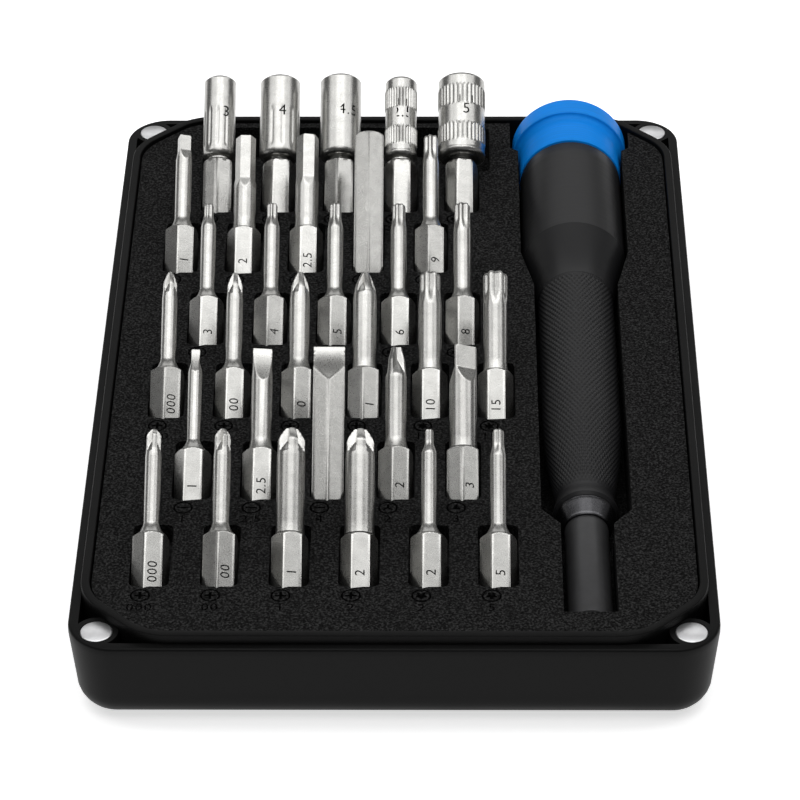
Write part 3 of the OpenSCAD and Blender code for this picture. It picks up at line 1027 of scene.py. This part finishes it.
def make_holder(steel):
    depth = 8.0
    hex_inner = 2.04
    end = HOLDER_HIGH.y - NEAR_Y
    count = 96
    profile = [(HOLDER_R, end), (HOLDER_R, 20), (HOLDER_R, 0.3),
               (HOLDER_R - 0.06, 0.1), (HOLDER_R - 0.2, 0)]
    rings = [polar_ring(lambda t, r=r: r, z, count) for r, z in profile]
    mouth = HOLDER_R - 0.25
    rings.append(polar_ring(lambda t: min(mouth, polygon_r(t, 6, hex_inner + 0.15)), 0.0, count))
    rings.append(polar_ring(lambda t: polygon_r(t, 6, hex_inner), 0.25, count))
    rings.append(polar_ring(lambda t: polygon_r(t, 6, hex_inner), depth, count))
    place_driver_piece("bit_holder_shaft", loft_mesh("bit_holder_shaft", rings), steel, "bit_holder",
                       "driver")


def make_cap(blue):
    """Collar, concave fillet, full width and a blunt domed end with one ring step."""
    collar_r = 7.25
    flange_s = CAP_S + 6.15
    collar_end = CAP_S + 4.6
    full_end = CAP_S + 9.15
    bore_r = 3.3
    profile = [(bore_r, CAP_S + 1.5), (bore_r, CAP_S + 0.02), (collar_r - 0.3, CAP_S),
               (collar_r - 0.08, CAP_S + 0.08), (collar_r, CAP_S + 0.3), (collar_r, collar_end)]
    for i in range(1, 11):
        a = math.radians(9 * i)
        profile.append((lerp(collar_r, CAP_R - 0.1, 1 - math.cos(a)),
                        lerp(collar_end, flange_s, math.sin(a))))
    profile += [(CAP_R, flange_s + 0.15), (CAP_R, full_end)]
    step_r = CAP_R - 1.5
    step_s = CAP_END_S - 1.0
    for i in range(1, 9):
        a = math.radians(90 * i / 8)
        profile.append((step_r + (CAP_R - step_r) * math.cos(a), lerp(full_end, step_s, math.sin(a))))
    profile += [(step_r - 0.1, step_s + 0.02), (step_r - 0.12, step_s + 0.2)]
    for i in range(1, 13):
        a = math.radians(90 * i / 12)
        profile.append(((step_r - 0.12) * math.cos(a) + 0.001,
                        lerp(step_s + 0.2, CAP_END_S, math.sin(a))))
    place_driver_piece("swivel_cap_shell", revolve_mesh("swivel_cap_shell", profile, 160), blue,
                       "swivel_cap", "cap", 30)


def dress_inner_pieces(steel, nickel, bronze):
    """The pieces inside the driver keep their CAD shape."""
    for node, mat in (("cap_axle", steel), ("cap_clip", steel), ("cap_bearing", bronze),
                      ("holder_magnet", nickel)):
        for place in frame["nodes"][node].material_slots:
            place.material = mat


# ---------- the set ----------

camera()
studio()
steel = satin_steel("bit_steel", (0.44, 0.436, 0.42), 0.29)
dark_steel = satin_steel("holder_metal", (0.06, 0.06, 0.062), 0.38, 0.6)
cone_steel = satin_steel("ferrule_metal", (0.09, 0.09, 0.095), 0.28)
nickel = satin_steel("magnet_nickel", (0.85, 0.85, 0.86), 0.4)
places = make_bits(steel, plain_black("bit_digit_painted_shade"))
make_tray(case_plastic())
make_magnets(nickel)
make_foam(foam(), plain_black("foam_groove_painted_shade"), places)
make_holder(dark_steel)
make_ferrule(cone_steel)
make_handle(anodised("handle_black", (0.011, 0.011, 0.012), 0.42, 0.2, 0.4))
make_cap(anodised("cap_blue", (0.0003, 0.28, 0.95), 0.5, 0.0, 0.15))
dress_inner_pieces(satin_steel("inner_steel", (0.55, 0.55, 0.55), 0.3), nickel,
                   satin_steel("bearing_bronze", (0.55, 0.4, 0.2), 0.4))
